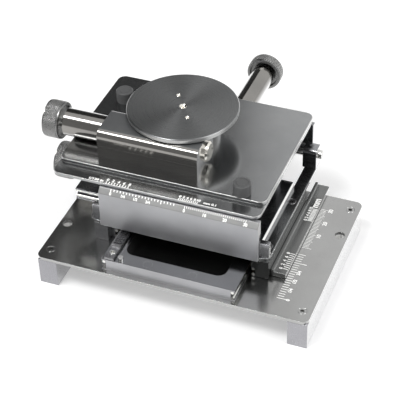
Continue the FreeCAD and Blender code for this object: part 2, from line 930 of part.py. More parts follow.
def head_housing():
    block = box(
        head_block_left,
        head_block_right,
        head_block_front,
        head_block_back,
        stage_top,
        head_top,
    )
    long_top = [
        edge
        for edge in block.Edges
        if abs(edge.tangentAt(edge.FirstParameter).x) > 0.5 and edge.CenterOfMass.z > worm_z
    ]
    block = block.makeFillet(head_edge_radius, long_top)
    axis_foot = point(head_axis_x, head_axis_y, stage_top)
    drum = cylinder(axis_foot, z_axis, drum_radius, head_height)
    chamber = cylinder(axis_foot, z_axis, wheel_radius + chamber_gap, chamber_top - stage_top)
    recess_start = point(head_axis_x, head_axis_y, hub_bottom - disc_gap)
    recess = cylinder(recess_start, z_axis, hub_radius + disc_gap, head_height)
    spindle_bore = cylinder(axis_foot, z_axis, spindle_radius + running_gap, head_height)
    worm_room = cylinder(
        point(worm_room_left, worm_y, worm_z),
        x_axis,
        end_nut_thread_radius,
        head_block_right - worm_room_left,
    )
    journal_bore = cylinder(
        point(head_block_left, worm_y, worm_z),
        x_axis,
        worm_journal_radius + running_gap,
        worm_room_left - head_block_left,
    )
    spigot_hole = cylinder(
        point(head_block_left, worm_y, worm_z), x_axis, head_spigot_radius, head_spigot_length
    )
    housing = block.fuse(drum).removeSplitter()
    for hollow in (chamber, recess, spindle_bore, worm_room, journal_bore, spigot_hole):
        housing = housing.cut(hollow)
    save("head_housing", housing)


def worm():
    """One thread of trapezoid section round the root cylinder, on the X axis."""
    lead = worm_pitch
    root = worm_root_radius - worm_thread_sink
    profile_half = worm_tooth_thickness / 2.0
    root_half = profile_half + worm_flank_taper * worm_dedendum
    crest_half = profile_half - worm_flank_taper * worm_addendum
    corners = [
        point(root, 0, -root_half),
        point(worm_crest_radius, 0, -crest_half),
        point(worm_crest_radius, 0, crest_half),
        point(root, 0, root_half),
    ]
    profile = Part.makePolygon(corners + [corners[0]])
    helix = Part.makeHelix(lead, lead * worm_turns, worm_pitch_radius)
    thread = Part.Wire(helix).makePipeShell([profile], True, True)
    turn = FreeCAD.Rotation(y_axis, z_axis, x_axis, "ZXY")
    start_x = head_axis_x - lead * worm_turns / 2.0
    thread.Placement = FreeCAD.Placement(point(start_x, worm_y, worm_z), turn)
    return thread


def head_drive():
    nut_inner = head_block_right - end_nut_depth
    grip_end = head_knob_left + knob_face_thickness
    journal_length = worm_room_left - grip_end
    journal = cylinder(point(grip_end, worm_y, worm_z), x_axis, worm_journal_radius, journal_length)
    root_length = nut_inner - running_gap - worm_room_left
    root = cylinder(point(worm_room_left, worm_y, worm_z), x_axis, worm_root_radius, root_length)
    end = cylinder(
        point(nut_inner - running_gap, worm_y, worm_z), x_axis, worm_end_radius, end_nut_depth
    )
    save("worm_shaft", journal.fuse(root).fuse(end).fuse(worm()).removeSplitter())
    face = point(head_knob_left, worm_y, worm_z)
    grip = head_knob_length - knob_face_thickness
    save("head_knob", knob(face, x_axis, knob_radius, head_knob_length, worm_journal_radius, grip))
    sleeve_start = point(head_sleeve_left, worm_y, worm_z)
    sleeve_length = head_block_left - head_sleeve_left
    sleeve = cylinder(sleeve_start, x_axis, head_sleeve_radius, sleeve_length)
    spigot = cylinder(sleeve_start, x_axis, head_spigot_radius, sleeve_length + head_spigot_length)
    bore = cylinder(
        sleeve_start, x_axis, worm_journal_radius + running_gap, sleeve_length + head_spigot_length
    )
    save("head_sleeve", sleeve.fuse(spigot).cut(bore))
    thread = cylinder(point(nut_inner, worm_y, worm_z), x_axis, end_nut_thread_radius, end_nut_depth)
    head = cylinder(point(head_block_right, worm_y, worm_z), x_axis, end_nut_radius, end_nut_height)
    middle = head_block_right + end_nut_height / 2.0
    outer_rim = [edge for edge in head.Edges if edge.Closed and edge.CenterOfMass.x > middle]
    nut = head.makeChamfer(end_nut_chamfer, outer_rim).fuse(thread)
    bearing = cylinder(
        point(nut_inner, worm_y, worm_z), x_axis, worm_end_radius + running_gap, end_nut_depth
    )
    nut = nut.cut(bearing)
    for side in (-1, 1):
        start = point(head_block_right, worm_y + side * end_nut_hole_offset, worm_z)
        ends = [(end_nut_hole_radius, 0.0), (end_nut_hole_radius, end_nut_height)]
        nut = nut.cut(flat_sided(ends, start, x_axis, screw_sides))
    save("end_nut", nut)


def worm_wheel():
    root_radius = wheel_pitch_radius - wheel_dedendum
    half = wheel_tooth_thickness / 2.0
    root_turn = (half + wheel_flank_taper * wheel_dedendum) / root_radius
    tip_turn = (half - wheel_flank_taper * wheel_addendum) / wheel_radius
    corners = []
    for tooth in range(wheel_teeth):
        centre = 2 * math.pi * tooth / wheel_teeth - math.pi / 2.0
        for radius, turn in (
            (root_radius, centre - root_turn),
            (wheel_radius, centre - tip_turn),
            (wheel_radius, centre + tip_turn),
            (root_radius, centre + root_turn),
        ):
            x = head_axis_x + radius * math.cos(turn)
            y = head_axis_y + radius * math.sin(turn)
            corners.append(point(x, y, wheel_bottom))
    wheel = extrude(corners, z_axis * wheel_width)
    hub_hole = cylinder(point(head_axis_x, head_axis_y, wheel_bottom), z_axis, spindle_radius, wheel_width)
    save("worm_wheel", wheel.cut(hub_hole))


def disc_screw_set(growth=0.0):
    top = disc_bottom + disc_thickness
    centre = point(head_axis_x, head_axis_y, top)
    head = disc_centre_screw_radius
    shank = disc_centre_shank_radius
    made = [countersunk(centre, -z_axis, head, shank, disc_screw_length, growth)]
    head = disc_small_screw_radius
    shank = disc_small_shank_radius
    for dx, dy in disc_screw_places:
        place = centre + point(dx, dy, 0)
        made.append(countersunk(place, -z_axis, head, shank, disc_screw_length, growth))
    return Part.makeCompound(made)


def turntable():
    axis_x = head_axis_x
    axis_y = head_axis_y
    disc = cylinder(point(axis_x, axis_y, disc_bottom), z_axis, disc_radius, disc_thickness)
    rims = [edge for edge in disc.Edges if edge.Closed and edge.Curve.TypeId == "Part::GeomCircle"]
    disc = disc.makeChamfer(disc_chamfer, rims)
    holes = disc_screw_set(screw_gap)
    save("disc", disc.cut(holes))
    save("disc_screws", disc_screw_set())
    flange = cylinder(point(axis_x, axis_y, hub_bottom), z_axis, hub_radius, hub_thickness)
    spindle = cylinder(point(axis_x, axis_y, wheel_bottom), z_axis, spindle_radius, hub_bottom - wheel_bottom)
    pivot_bottom = vernier_plate_top + disc_gap
    pivot = cylinder(point(axis_x, axis_y, pivot_bottom), z_axis, pivot_radius, wheel_bottom - pivot_bottom)
    save("hub", flange.fuse(spindle).fuse(pivot).removeSplitter().cut(holes))


os.makedirs("parts", exist_ok=True)
base_group()
guide_block()
y_rack()
carriage_bed()
side_rails()
x_rails()
saddle()
y_vernier_bar()
rear_plate_and_rod()
y_drive()
x_drive()
cages()
x_stage()
pegs()
head_housing()
head_drive()
worm_wheel()
turntable()
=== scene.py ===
import json
import math

import bmesh
import bpy
from mathutils import Matrix, Vector


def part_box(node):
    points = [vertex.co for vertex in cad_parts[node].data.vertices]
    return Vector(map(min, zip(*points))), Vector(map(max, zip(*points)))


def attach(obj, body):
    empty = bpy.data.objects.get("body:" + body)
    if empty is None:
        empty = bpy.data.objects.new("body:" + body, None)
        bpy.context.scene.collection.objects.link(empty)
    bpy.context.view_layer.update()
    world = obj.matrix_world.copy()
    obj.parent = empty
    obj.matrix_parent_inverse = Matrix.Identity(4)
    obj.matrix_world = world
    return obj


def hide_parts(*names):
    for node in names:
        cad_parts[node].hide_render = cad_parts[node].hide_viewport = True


# Looks of the microscope xy stage. Metres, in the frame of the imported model.
# Lengths of the part are written in millimetres and multiplied by MM where they are used.
# Lengths of the studio are in metres.

MM = 0.001

# Camera, fitted to the engraved scales: place in millimetres, angles in degrees
CAMERA_PLACE = (196.55, -476.19, 457.34)
CAMERA_AZIMUTH = 22.509
CAMERA_ELEVATION = 39.387
CAMERA_ROLL = -1.918
CAMERA_LENS = 125.58
SENSOR_WIDTH = 36.0

# Edge breaks of the machined parts
PLATE_BREAK = 0.22
WIDE_BREAK = 0.32
BLOCK_BREAK = 0.35
FINE_BREAK = 0.12
BREAK_SEGMENTS = 2
BREAK_ANGLE = 28.0

# Mesh work: edges over the smooth angles stay sharp, faces within the flat angle are joined,
# and points within the weld distance are merged
SMOOTH_ANGLE = 35.0
BREAK_SMOOTH_ANGLE = 46.0
TURNED_SMOOTH_ANGLE = 30.0
FLAT_ANGLE = 0.8
WELD = 0.002

# Limits of the face and edge tests, as parts of a unit vector
UPRIGHT_LIMIT = 0.3
SLANT_LIMIT = 0.2
FACING_LIMIT = 0.9
LEVEL_LIMIT = 0.98
SQUARE_LIMIT = 0.9995
UPRIGHT_EDGE_LIMIT = 0.99

# Corners and bores of the base plate and its legs
PLATE_CORNER = 3.4
CORNER_SEGMENTS = 8
LEG_EDGE_LENGTH = 10.0
PLATE_BORES_WITHIN = 35.0

# Knurl and rims of the three knobs. A turn and an end are shares of the rim, or of the dish's depth.
KNURL_COUNT = 48
KNURL_ROWS = 48
KNURL_STEPS = 8
KNURL_DEPTH = 0.22
KNURL_SLOPE = 2.6
KNURL_LEAN = 1.0
KNURL_FADE_ROWS = 2
KNOB_RIM = 0.7
KNOB_RIM_TURN = 0.3
KNOB_RIM_END = 0.9
KNOB_DISH_DEPTH = 0.5
KNOB_DISH_SHARE = 0.70
KNOB_DISH_TURN = 0.7
KNOB_BACK_DEPTH = 1.2
KNOB_BACK_SHARE = 0.82
KNOB_PLAIN_SHADE = 0.55

# Pegs: the groove's shares of the radius, from its outer lip to its inner lip
PEG_SIDES = 48
PEG_RIM = 0.4
PEG_GROOVE = (0.72, 0.68, 0.62, 0.58)

# Countersunk socket screws, as shares of the head's radius
SCREW_SIDES = 24
SOCKET_TIP = 0.8
SOCKET_FLOOR = 0.7
SOCKET_LIP = 0.12
HEAD_LAND = 0.90
HEAD_EDGE = 0.08
HEAD_CONE = 0.5
SHANK = 0.57

# Hexagon of the socket at its floor and at its lip, as shares of the hexagon between them
SOCKET_TAPER = 0.92
SOCKET_CHAMFER = 1.12

# Gloss of the oxide film: its index, and the reflectance where the lift starts and ends
FILM_IOR = 1.7
GRAZE_START = 0.11
GRAZE_END = 0.27
GRAZE_COLOUR = (0.95, 0.95, 0.95, 1.0)

# Surface grain: cells of the cloudy shade in a metre, and the depth of marks in millimetres
CLOUD_SCALE = 45.0
FINE_RELIEF = 0.01
COARSE_RELIEF = 0.02

# Scales: spacings in millimetres
INCH = 25.4
INCH_PARTS = 16
INCH_VERNIER = 7.0 * INCH / 16.0
INCH_VERNIER_PARTS = 8
MM_SPAN = 30
MM_VERNIER = 9.0
MM_VERNIER_PARTS = 10
INCH_TICKS = INCH_PARTS + INCH_PARTS // 4 + 1
PAINT_RISE = 0.012
FONT_SIZE_PER_HEIGHT = 1.38

# Scale on the front rail and the vernier over it, places along X
FRONT_INCH_ZERO = -36.2
FRONT_MM_ZERO = 0.9
FRONT_LABEL_Y = -2.9
FRONT_FRACTION_Y = -2.75
VERNIER_INCH_ZERO = -39.4
VERNIER_MM_ZERO = -2.8
VERNIER_SET_BACK = 0.25
INCH_UNIT_BEFORE = 5.6
MM_UNIT_AFTER = 6.0

# Scale on the base plate and the vernier bar beside it, places along Y
SIDE_INCH_ZERO = -33.4
SIDE_MM_ZERO = 3.6
BAR_INCH_ZERO = -16.9
BAR_MM_ZERO = 20.1
SIDE_TICK_START = 49.55
SIDE_FRACTION_Y = -5.2
SIDE_LABEL_Y = -6.1
BAR_STEP_HEIGHT = 2.7
BAR_SET_BACK = 0.1
BAR_UNIT_AFTER = 4.8

# Bevel of the front rail
BEVEL_DROP = 2.4
BEVEL_RUN = 2.2

# Studio
FLOOR_HALF = 6.0
FLOOR_LIFT = 0.30
FLOOR_SHADE = 0.86
WORLD_FILL = 0.50
CARD_DISTANCE = 1.8
CARD_STEPS = 24
LAMP_TARGET = (0.0, 0.0, 0.03)

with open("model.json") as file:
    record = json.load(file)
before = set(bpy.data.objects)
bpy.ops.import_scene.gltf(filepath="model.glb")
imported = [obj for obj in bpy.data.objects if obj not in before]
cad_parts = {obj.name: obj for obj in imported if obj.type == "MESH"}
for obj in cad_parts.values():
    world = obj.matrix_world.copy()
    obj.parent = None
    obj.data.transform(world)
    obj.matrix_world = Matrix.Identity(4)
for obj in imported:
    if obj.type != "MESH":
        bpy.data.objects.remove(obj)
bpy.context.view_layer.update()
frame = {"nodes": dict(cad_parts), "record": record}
NODES = frame["nodes"]


# Node helpers

def new_material(name):
    material = bpy.data.materials.new(name)
    material.use_nodes = True
    tree = material.node_tree
    shader = tree.nodes["Principled BSDF"]
    return material, tree, shader


def object_position(tree):
    return tree.nodes.new("ShaderNodeTexCoord").outputs["Object"]


def noise(tree, scale, detail=4.0, roughness=0.55, stretch=(1.0, 1.0, 1.0)):
    """Noise in object space. Scale is in cells per metre."""
    mapping = tree.nodes.new("ShaderNodeMapping")
    mapping.inputs["Scale"].default_value = stretch
    tree.links.new(object_position(tree), mapping.inputs["Vector"])
    node = tree.nodes.new("ShaderNodeTexNoise")
    node.inputs["Scale"].default_value = scale
    node.inputs["Detail"].default_value = detail
    node.inputs["Roughness"].default_value = roughness
    tree.links.new(mapping.outputs["Vector"], node.inputs["Vector"])
    return node.outputs["Fac"]


def ramp(tree, factor, low, high, start=0.3, end=0.7):
    """Maps a grey factor to a grey range, for roughness."""
    node = tree.nodes.new("ShaderNodeMapRange")
    node.inputs["From Min"].default_value = start
    node.inputs["From Max"].default_value = end
    node.inputs["To Min"].default_value = low
    node.inputs["To Max"].default_value = high
    tree.links.new(factor, node.inputs["Value"])
    return node.outputs["Result"]


def colour_ramp(tree, factor, first, second, start=0.35, end=0.65):
    node = tree.nodes.new("ShaderNodeValToRGB")
    node.color_ramp.elements[0].position = start
    node.color_ramp.elements[1].position = end
    node.color_ramp.elements[0].color = (*first, 1.0)
    node.color_ramp.elements[1].color = (*second, 1.0)
    tree.links.new(factor, node.inputs["Fac"])
    return node.outputs["Color"]


def bump(tree, shader, height, strength, relief):
    """Small relief, in millimetres."""
    node = tree.nodes.new("ShaderNodeBump")
    node.inputs["Strength"].default_value = strength
    node.inputs["Distance"].default_value = relief * MM
    tree.links.new(height, node.inputs["Height"])
    tree.links.new(node.outputs["Normal"], shader.inputs["Normal"])


# Materials, one function each

def oxide_colour(tree, shade, lift=0.85):
    """Lifts a shade toward white where the surface is seen at a grazing angle."""
    gloss = tree.nodes.new("ShaderNodeFresnel")
    gloss.inputs["IOR"].default_value = FILM_IOR
    share = ramp(tree, gloss.outputs["Fac"], 0.0, lift, GRAZE_START, GRAZE_END)
    mix = tree.nodes.new("ShaderNodeMix")
    mix.data_type = "RGBA"
    mix.inputs["B"].default_value = GRAZE_COLOUR
    tree.links.new(share, mix.inputs["Factor"])
    tree.links.new(shade, mix.inputs["A"])
    return mix.outputs["Result"]


def anodised(name, dark, light, gloss, marks_scale, depth, stretch=(1.0, 1.0, 1.0), lift=0.85):
    """Anodised metal: a cloudy shade, and cutter marks in the gloss.

    The marks run along the axis whose stretch is small.
    """
    material, tree, shader = new_material(name)
    cloud = noise(tree, CLOUD_SCALE, detail=3.0)
    marks = noise(tree, marks_scale, detail=3.0, roughness=0.6, stretch=stretch)
    shade = colour_ramp(tree, cloud, dark, light)
    tree.links.new(oxide_colour(tree, shade, lift), shader.inputs["Base Color"])
    tree.links.new(ramp(tree, marks, *gloss), shader.inputs["Roughness"])
    shader.inputs["Metallic"].default_value = 1.0
    bump(tree, shader, marks, depth, FINE_RELIEF)
    return material


def base_anodised():
    return anodised(
        "base_anodised",
        dark=(0.400, 0.400, 0.395),
        light=(0.435, 0.437, 0.430),
        gloss=(0.17, 0.23),
        marks_scale=5200.0,
        depth=0.10,
    )


def plate_anodised():
    return anodised(
        "plate_anodised",
        dark=(0.318, 0.324, 0.328),
        light=(0.355, 0.360, 0.363),
        gloss=(0.17, 0.21),
        marks_scale=4200.0,
        depth=0.05,
    )


def milled_anodised():
    return anodised(
        "milled_anodised",
        dark=(0.285, 0.288, 0.300),
        light=(0.325, 0.328, 0.340),
        gloss=(0.17, 0.25),
        marks_scale=900.0,
        depth=0.10,
        stretch=(0.04, 1.0, 1.0),
    )


def leg_anodised():
    return anodised(
        "leg_anodised",
        dark=(0.335, 0.333, 0.352),
        light=(0.375, 0.373, 0.392),
        gloss=(0.24, 0.32),
        marks_scale=2600.0,
        depth=0.10,
        stretch=(1.0, 1.0, 0.2),
    )


def face_anodised():
    return anodised(
        "face_anodised",
        dark=(0.430, 0.430, 0.446),
        light=(0.480, 0.480, 0.496),
        gloss=(0.50, 0.60),
        marks_scale=1800.0,
        depth=0.10,
        stretch=(0.1, 1.0, 1.0),
    )


def satin_anodised():
    return anodised(
        "satin_anodised",
        dark=(0.370, 0.372, 0.385),
        light=(0.420, 0.423, 0.436),
        gloss=(0.34, 0.42),
        marks_scale=2600.0,
        depth=0.10,
        stretch=(0.2, 1.0, 1.0),
    )


def bright_bevel():
    return anodised(
        "bright_bevel",
        dark=(0.300, 0.301, 0.298),
        light=(0.340, 0.341, 0.336),
        gloss=(0.44, 0.54),
        marks_scale=900.0,
        depth=0.10,
        stretch=(0.04, 1.0, 1.0),
    )


def blasted_anodised():
    return anodised(
        "blasted_anodised",
        dark=(0.185, 0.190, 0.194),
        light=(0.212, 0.217, 0.220),
        gloss=(0.44, 0.54),
        marks_scale=2600.0,
        depth=0.10,
    )


# Very dark shade for the right rail: painted shade of the closed-in space it sits in; the low roughness is
# its lapped gloss.
def lapped_anodised():
    return anodised(
        "lapped_anodised",
        dark=(0.085, 0.088, 0.088),
        light=(0.105, 0.108, 0.107),
        gloss=(0.05, 0.09),
        marks_scale=700.0,
        depth=0.03,
        stretch=(1.0, 0.04, 1.0),
        lift=0.35,
    )


def polished_anodised():
    return anodised(
        "polished_anodised",
        dark=(0.250, 0.243, 0.232),
        light=(0.290, 0.281, 0.266),
        gloss=(0.10, 0.15),
        marks_scale=1500.0,
        depth=0.03,
        stretch=(0.03, 1.0, 1.0),
    )


def dark_anodised():
    return anodised(
        "dark_anodised",
        dark=(0.175, 0.178, 0.175),
        light=(0.205, 0.208, 0.205),
        gloss=(0.16, 0.24),
        marks_scale=900.0,
        depth=0.10,
        stretch=(1.0, 0.04, 1.0),
    )


# Near-white copy of the anodised finish for the saddle's slanted right face: a painted highlight line.
def burnished_edge():
    return anodised(
        "burnished_edge",
        dark=(0.86, 0.86, 0.84),
        light=(0.95, 0.95, 0.93),
        gloss=(0.16, 0.26),
        marks_scale=900.0,
        depth=0.05,
        stretch=(1.0, 0.04, 1.0),
        lift=0.2,
    )


def cut_edge():
    """Edges that were cut or broken after the plate was coloured: bare metal, made brighter than that as a
    painted highlight.
    """
    return anodised(
        "cut_edge",
        dark=(0.42, 0.42, 0.415),
        light=(0.54, 0.54, 0.53),
        gloss=(0.24, 0.36),
        marks_scale=1500.0,
        depth=0.15,
        stretch=(0.1, 0.1, 1.0),
        lift=0.3,
    )


def turned_disc():
    """Lathe-turned face: rings of fine tool marks that pull the highlights into fans."""
    material, tree, shader = new_material("turned_disc")
    low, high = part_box("disc")
    centre = (low + high) / 2.0
    mapping = tree.nodes.new("ShaderNodeMapping")
    mapping.inputs["Location"].default_value = (-centre.x, -centre.y, 0.0)
    mapping.inputs["Scale"].default_value = (1.0, 1.0, 0.0)
    tree.links.new(object_position(tree), mapping.inputs["Vector"])
    length = tree.nodes.new("ShaderNodeVectorMath")
    length.operation = "LENGTH"
    tree.links.new(mapping.outputs["Vector"], length.inputs[0])
    rings = tree.nodes.new("ShaderNodeTexNoise")
    rings.noise_dimensions = "1D"
    rings.inputs["Scale"].default_value = 5000.0
    rings.inputs["Detail"].default_value = 2.0
    tree.links.new(length.outputs["Value"], rings.inputs["W"])
    shade = colour_ramp(tree, rings.outputs["Fac"], (0.262, 0.267, 0.270), (0.282, 0.287, 0.289))
    tree.links.new(oxide_colour(tree, shade), shader.inputs["Base Color"])
    tree.links.new(ramp(tree, rings.outputs["Fac"], 0.26, 0.34), shader.inputs["Roughness"])
    tangent = tree.nodes.new("ShaderNodeTangent")
    tangent.direction_type = "RADIAL"
    tangent.axis = "Z"
    tree.links.new(tangent.outputs["Tangent"], shader.inputs["Tangent"])
    shader.inputs["Metallic"].default_value = 1.0
    shader.inputs["Anisotropic"].default_value = 0.85
    shader.inputs["Anisotropic Rotation"].default_value = 0.25
    bump(tree, shader, rings.outputs["Fac"], 0.05, FINE_RELIEF)
    return material


def knurled_black():
    """Bright crowns and dark grooves; the knurl attribute is the height of each point."""
    material, tree, shader = new_material("knurled_black")
    height = tree.nodes.new("ShaderNodeAttribute")
    height.attribute_name = "knurl"
    worn = noise(tree, 900.0, detail=3.0)
    shade = colour_ramp(tree, height.outputs["Fac"], (0.04, 0.04, 0.042), (0.58, 0.58, 0.57), 0.15, 0.85)
    tree.links.new(shade, shader.inputs["Base Color"])
    tree.links.new(ramp(tree, worn, 0.22, 0.36), shader.inputs["Roughness"])
    shader.inputs["Metallic"].default_value = 1.0
    bump(tree, shader, noise(tree, 4000.0), 0.12, COARSE_RELIEF)
    return material


def ground_steel():
    material, tree, shader = new_material("ground_steel")
    marks = noise(tree, 3000.0, detail=3.0, roughness=0.6, stretch=(0.05, 0.05, 1.0))
    shade = colour_ramp(tree, marks, (0.62, 0.62, 0.60), (0.78, 0.78, 0.76))
    tree.links.new(shade, shader.inputs["Base Color"])
    tree.links.new(ramp(tree, marks, 0.12, 0.22), shader.inputs["Roughness"])
    shader.inputs["Metallic"].default_value = 1.0
    bump(tree, shader, marks, 0.05, FINE_RELIEF)
    return material


def black_oxide():
    material, tree, shader = new_material("black_oxide")
    grain = noise(tree, 2600.0, detail=3.0)
    shade = colour_ramp(tree, grain, (0.20, 0.20, 0.205), (0.33, 0.33, 0.335))
    tree.links.new(shade, shader.inputs["Base Color"])
    tree.links.new(ramp(tree, grain, 0.20, 0.34), shader.inputs["Roughness"])
    shader.inputs["Metallic"].default_value = 1.0
    bump(tree, shader, grain, 0.15, COARSE_RELIEF)
    return material


def bright_nickel():
    material, tree, shader = new_material("bright_nickel")
    marks = noise(tree, 1200.0, detail=3.0)
    shade = colour_ramp(tree, marks, (0.74, 0.71, 0.64), (0.88, 0.86, 0.80))
    tree.links.new(shade, shader.inputs["Base Color"])
    tree.links.new(ramp(tree, marks, 0.10, 0.24), shader.inputs["Roughness"])
    shader.inputs["Metallic"].default_value = 1.0
    bump(tree, shader, marks, 0.10, COARSE_RELIEF)
    return material


def machined_brass():
    material, tree, shader = new_material("machined_brass")
    marks = noise(tree, 1800.0, detail=3.0, roughness=0.6, stretch=(0.05, 1.0, 1.0))
    shade = colour_ramp(tree, marks, (0.55, 0.39, 0.16), (0.68, 0.50, 0.22))
    tree.links.new(shade, shader.inputs["Base Color"])
    tree.links.new(ramp(tree, marks, 0.25, 0.38), shader.inputs["Roughness"])
    shader.inputs["Metallic"].default_value = 1.0
    bump(tree, shader, marks, 0.10, FINE_RELIEF)
    return material


def matte_black():
    """Blackened steel with a dull, fine grain."""
    material, tree, shader = new_material("matte_black")
    grain = noise(tree, 2200.0, detail=3.0)
    shade = colour_ramp(tree, grain, (0.068, 0.069, 0.070), (0.098, 0.099, 0.100))
    tree.links.new(shade, shader.inputs["Base Color"])
    tree.links.new(ramp(tree, grain, 0.42, 0.55), shader.inputs["Roughness"])
    bump(tree, shader, grain, 0.25, COARSE_RELIEF)
    return material


def bright_bore():
    """Bare walls of the foot bolt bores, cut after the legs were coloured, with a faint painted glow."""
    material, tree, shader = new_material("bright_bore")
    marks = noise(tree, 2500.0, detail=3.0, roughness=0.6, stretch=(0.1, 0.1, 1.0))
    shade = colour_ramp(tree, marks, (0.70, 0.70, 0.69), (0.84, 0.84, 0.82))
    tree.links.new(shade, shader.inputs["Base Color"])
    tree.links.new(ramp(tree, marks, 0.5, 0.6), shader.inputs["Roughness"])
    # Painted light: a faint white glow keeps the bore walls bright where shade falls.
    shader.inputs["Emission Color"].default_value = (1.0, 1.0, 0.98, 1.0)
    shader.inputs["Emission Strength"].default_value = 0.06
    bump(tree, shader, marks, 0.2, COARSE_RELIEF)
    return material


def scale_paint():
    """White filling of the engraved lines and figures, with a painted glow that lifts it in shade."""
    material, tree, shader = new_material("scale_paint")
    grain = noise(tree, 3500.0, detail=3.0)
    shade = colour_ramp(tree, grain, (0.88, 0.88, 0.86), (0.96, 0.96, 0.94))
    tree.links.new(shade, shader.inputs["Base Color"])
    shader.inputs["Roughness"].default_value = 0.55
    # Painted light: the filling glows a little, so it stays white where shade falls.
    shader.inputs["Emission Color"].default_value = (1.0, 1.0, 0.98, 1.0)
    shader.inputs["Emission Strength"].default_value = 0.22
    bump(tree, shader, grain, 0.1, FINE_RELIEF)
    return material


BASE = base_anodised()
PLATE = plate_anodised()
MILLED = milled_anodised()
SATIN = satin_anodised()
LEG = leg_anodised()
FACE = face_anodised()
BEVEL = bright_bevel()
LAPPED_AND_SHADED = lapped_anodised()
BLASTED = blasted_anodised()
POLISHED = polished_anodised()
DARK = dark_anodised()
PAINTED_HIGHLIGHT = burnished_edge()
CUT_AND_HIGHLIGHT = cut_edge()
TURNED = turned_disc()
KNURLED = knurled_black()
STEEL = ground_steel()
OXIDE = black_oxide()
NICKEL = bright_nickel()
BRASS = machined_brass()
GLOWING_PAINT = scale_paint()
MATTE = matte_black()
GLOWING_BORE = bright_bore()

FINISH = {
    BASE: ["base_plate", "plate_screws"],
    LEG: ["leg_left", "leg_right"],
    PLATE: ["vernier_plate", "top_plate", "carriage_bed"],
    MILLED: [
        "guide_block", "rail_left", "gib", "rear_rail", "end_blocks", "saddle", "block_screws", "rear_plate",
        "rod_brackets", "y_drive_housing", "x_core", "spacer", "hub",
    ],
    SATIN: ["front_rail"],
    LAPPED_AND_SHADED: ["rail_right"],
    DARK: ["y_vernier_bar"],
    MATTE: ["pegs"],
    POLISHED: ["head_housing", "head_sleeve", "y_drive_sleeve", "x_drive_sleeve"],
    TURNED: ["disc"],
    KNURLED: ["y_knob", "x_knob", "head_knob"],
    STEEL: [
        "guide_rods", "rail_rods", "x_rail_rods", "x_core_rods", "cross_rod", "y_pinion_shaft",
        "x_pinion_shaft", "x_rack", "y_balls_left", "y_balls_right", "x_balls_front",
        "x_balls_rear", "worm_shaft", "stop_pin", "y_rack_screws",
    ],
    OXIDE: ["bed_screws", "gib_screws", "rod_screws", "stage_screws", "y_rack"],
    NICKEL: ["end_nut", "disc_screws"],
    BRASS: ["y_cage_left", "y_cage_right", "x_cage_front", "x_cage_rear", "worm_wheel"],
}
BODY_OF = {node: body for body, names in frame["record"]["behaviour"]["bodies"].items() for node in names}
MATERIAL_OF = {node: material for material, names in FINISH.items() for node in names}


def dress(obj, *materials):
    """Gives a mesh its materials and keeps the choice that each face has made among them."""
    mesh = obj.data
    picks = [min(face.material_index, len(materials) - 1) for face in mesh.polygons]
    mesh.materials.clear()
    for material in materials:
        mesh.materials.append(material)
    mesh.polygons.foreach_set("material_index", picks)


def add_object(name, mesh, materials, body, replaced=()):
    obj = bpy.data.objects.new(name, mesh)
    bpy.context.scene.collection.objects.link(obj)
    dress(obj, *materials)
    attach(obj, body)
    if replaced:
        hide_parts(*replaced)
    return obj


def smooth_by_angle(mesh, angle=SMOOTH_ANGLE):
    mesh.shade_smooth()
    mesh.set_sharp_from_angle(angle=math.radians(angle))


# Machined parts: the solid's own shape with its edges broken

def round_edges(work, edges, width, segments, material=-1):
    bmesh.ops.bevel(
        work,
        geom=edges,
        offset=width * MM,
        offset_type="OFFSET",
        segments=segments,
        profile=0.5,
        affect="EDGES",
        clamp_overlap=True,
        material=material,
    )


def upright_edge(edge):
    """True for an upright edge that is longer than the limit."""
    first, second = (vert.co for vert in edge.verts)
    rise = abs((first - second).normalized().z)
    return edge.calc_length() > LEG_EDGE_LENGTH * MM and rise > UPRIGHT_EDGE_LIMIT


def round_corner(work, place):
    """Gives the upright edge nearest to a place the base plate's corner radius."""
    edges = [edge for edge in work.edges if upright_edge(edge)]
    nearest = min(edges, key=lambda edge: (edge.verts[0].co.xy - place.xy).length)
    round_edges(work, [nearest], PLATE_CORNER, CORNER_SEGMENTS)


def break_edges(node, width, trim=None, trimmed_face=None, edge_trim=None, corner=None):
    """A copy of the solid with rounded edges.

    The trim goes on the faces that a test picks, the edge trim on the edges. The corner is the place of
    one upright edge that is rounded like the base plate.
    """
    materials = [material for material in (MATERIAL_OF[node], trim, edge_trim) if material]
    mesh = NODES[node].data.copy()
    mesh.name = node + "_finished"
    work = bmesh.new()
    work.from_mesh(mesh)
    bmesh.ops.remove_doubles(work, verts=work.verts, dist=WELD * MM)
    bmesh.ops.dissolve_limit(
        work,
        angle_limit=math.radians(FLAT_ANGLE),
        verts=work.verts,
        edges=work.edges,
        use_dissolve_boundaries=False,
    )
    if corner is not None:
        round_corner(work, corner)
    work.normal_update()
    for face in work.faces:
        face.material_index = 1 if trimmed_face and trimmed_face(face) else 0
    sharp = [
        edge
        for edge in work.edges
        if len(edge.link_faces) == 2 and edge.calc_face_angle(0.0) > math.radians(BREAK_ANGLE)
    ]
    round_edges(work, sharp, width, BREAK_SEGMENTS, len(materials) - 1 if edge_trim else -1)
    work.to_mesh(mesh)
    work.free()
    smooth_by_angle(mesh, BREAK_SMOOTH_ANGLE)
    finished = add_object(node + "_finished", mesh, materials, BODY_OF[node], [node])
    flat = finished.modifiers.new("flat_faces", "WEIGHTED_NORMAL")
    flat.weight = 100
    flat.keep_sharp = True


def upright(face):
    return abs(face.normal.z) < UPRIGHT_LIMIT


def bored(face):
    """Upright walls that aren't square to the sides: those of round bores, and rounded corners too."""
    return upright(face) and max(abs(face.normal.x), abs(face.normal.y)) < SQUARE_LIMIT


def plate_bore(face):
    """Walls of the plate's bores, and not of its rounded corners."""
    return bored(face) and abs(face.calc_center_median().y) < PLATE_BORES_WITHIN * MM


def front_side(face):
    return face.normal.y < -FACING_LIMIT


def level(face):
    return face.normal.z > LEVEL_LIMIT


